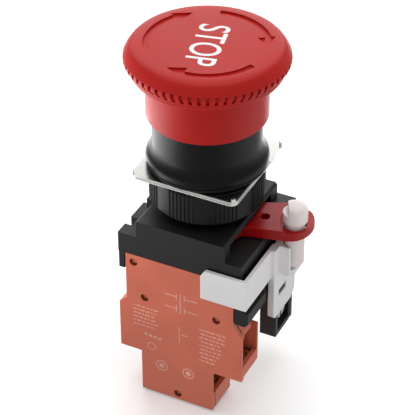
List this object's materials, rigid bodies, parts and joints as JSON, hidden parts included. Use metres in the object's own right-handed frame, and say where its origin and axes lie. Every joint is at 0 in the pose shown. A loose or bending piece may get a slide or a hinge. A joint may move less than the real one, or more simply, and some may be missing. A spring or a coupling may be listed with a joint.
{
  "type": "emergency stop button",
  "caption": "Panel-mounting emergency stop button with a red mushroom head, latch base, release lever and clip-on contact blocks.",
  "frame": {"origin": "on the barrel axis, in the plane of the panel's front face, which is the underside of the panel gasket", "axes": "+Z along the barrel axis towards the operator, -Y towards the broad face of the front contact block, +X towards the release lever and its lock"},
  "size_m": [0.0466, 0.04, 0.0989],
  "materials": {
    "head_red": "satin moulded red",
    "lever_red": "gloss moulded red",
    "housing_black": "satin moulded black",
    "base_black": "fine-grained moulded black",
    "nut_black": "ribbed moulded black",
    "block_black": "fine-grained moulded black",
    "black_plastic": "moulded black",
    "block_orange": "fine-grained moulded terracotta",
    "clip_white": "satin moulded white",
    "natural_plastic": "natural, slightly translucent",
    "white_plastic": "moulded white",
    "black_rubber": "matt rubber",
    "plate_steel": "bright plated",
    "screw_steel": "plated",
    "spring_steel": "drawn wire",
    "contact_brass": "stamped strip"
  },
  "bodies": {
    "root": {"operator_housing": "housing_black", "shaft_seal": "black_rubber", "latch_deck": "black_plastic", "latch_spring": "spring_steel", "panel_gasket": "black_rubber", "plunger_return_spring": "spring_steel", "latch_base": "base_black", "lock_clip": "clip_white", "nc_block_case": "block_orange", "nc_block_cover": "block_orange", "nc_return_spring": "spring_steel", "nc_terminal_upper_left": "contact_brass", "nc_terminal_upper_right": "contact_brass", "nc_terminal_lower_left": "contact_brass", "nc_terminal_lower_right": "contact_brass", "nc_screw_upper_left": "screw_steel", "nc_screw_upper_right": "screw_steel", "nc_screw_lower_left": "screw_steel", "nc_screw_lower_right": "screw_steel", "aux_block_case": "block_black", "aux_block_cover": "block_black", "aux_return_spring": "spring_steel", "aux_terminal_left": "contact_brass", "aux_terminal_right": "contact_brass", "aux_screw_left": "screw_steel", "aux_screw_right": "screw_steel"},
    "plunger": {"plunger_shaft": "black_plastic", "pusher_foot": "black_plastic"},
    "head": {"head_cap": "head_red", "turn_sleeve": "white_plastic", "head_return_spring": "spring_steel"},
    "latch": {"latch_slider": "white_plastic"},
    "clamp": {"lock_plate": "plate_steel"},
    "nut": {"mounting_nut": "nut_black"},
    "lever": {"release_lever": "lever_red"},
    "pin": {"lock_pin": "natural_plastic"},
    "nc_contacts": {"nc_carrier": "black_plastic", "nc_bridge_upper": "contact_brass", "nc_bridge_lower": "contact_brass", "nc_contact_spring_upper": "spring_steel", "nc_contact_spring_lower": "spring_steel"},
    "aux_contacts": {"aux_carrier": "black_plastic", "aux_bridge": "contact_brass", "aux_contact_spring": "spring_steel"}
  },
  "joints": [
    {"name": "press", "type": "slide", "parent": "root", "child": "plunger", "axis": [0, 0, 1], "range_m": [-0.004, 0], "stiffness_N_per_m": 2500, "springref_m": 0.001, "deforming": ["plunger_return_spring"]},
    {"name": "turn_to_reset", "type": "hinge", "parent": "plunger", "child": "head", "pos_m": [0, 0, 0], "axis": [0, 0, 1], "range_deg": [-45, 0], "stiffness_Nm_per_rad": 0.15},
    {"name": "latch_drop", "type": "slide", "parent": "root", "child": "latch", "axis": [1, 0, 0], "range_m": [-0.0008, 0], "stiffness_N_per_m": 200},
    {"name": "nc_drive", "type": "slide", "parent": "root", "child": "nc_contacts", "axis": [0, 0, 1], "range_m": [-0.004, 0], "deforming": ["nc_return_spring"]},
    {"name": "aux_drive", "type": "slide", "parent": "root", "child": "aux_contacts", "axis": [0, 0, 1], "range_m": [-0.004, 0], "deforming": ["aux_return_spring"]},
    {"name": "clamp_travel", "type": "slide", "parent": "root", "child": "clamp", "axis": [0, 0, 1], "range_m": [-0.0015, 0]},
    {"name": "nut_turn", "type": "hinge", "parent": "clamp", "child": "nut", "pos_m": [0, 0, 0], "axis": [0, 0, 1], "range_deg": [-360, 0]},
    {"name": "lever_play", "type": "hinge", "parent": "root", "child": "lever", "pos_m": [0, 0, 0], "axis": [0, 0, 1], "range_deg": [-1, 1]},
    {"name": "pin_pull", "type": "slide", "parent": "root", "child": "pin", "axis": [0, 0, 1], "range_m": [0, 0.0135]}
  ],
  "couplings": [
    {"joint": "nc_drive", "follows": "press", "ratio": 1},
    {"joint": "aux_drive", "follows": "press", "ratio": 1},
    {"joint": "nut_turn", "follows": "clamp_travel", "rad_per_m": 4188.8}
  ]
}
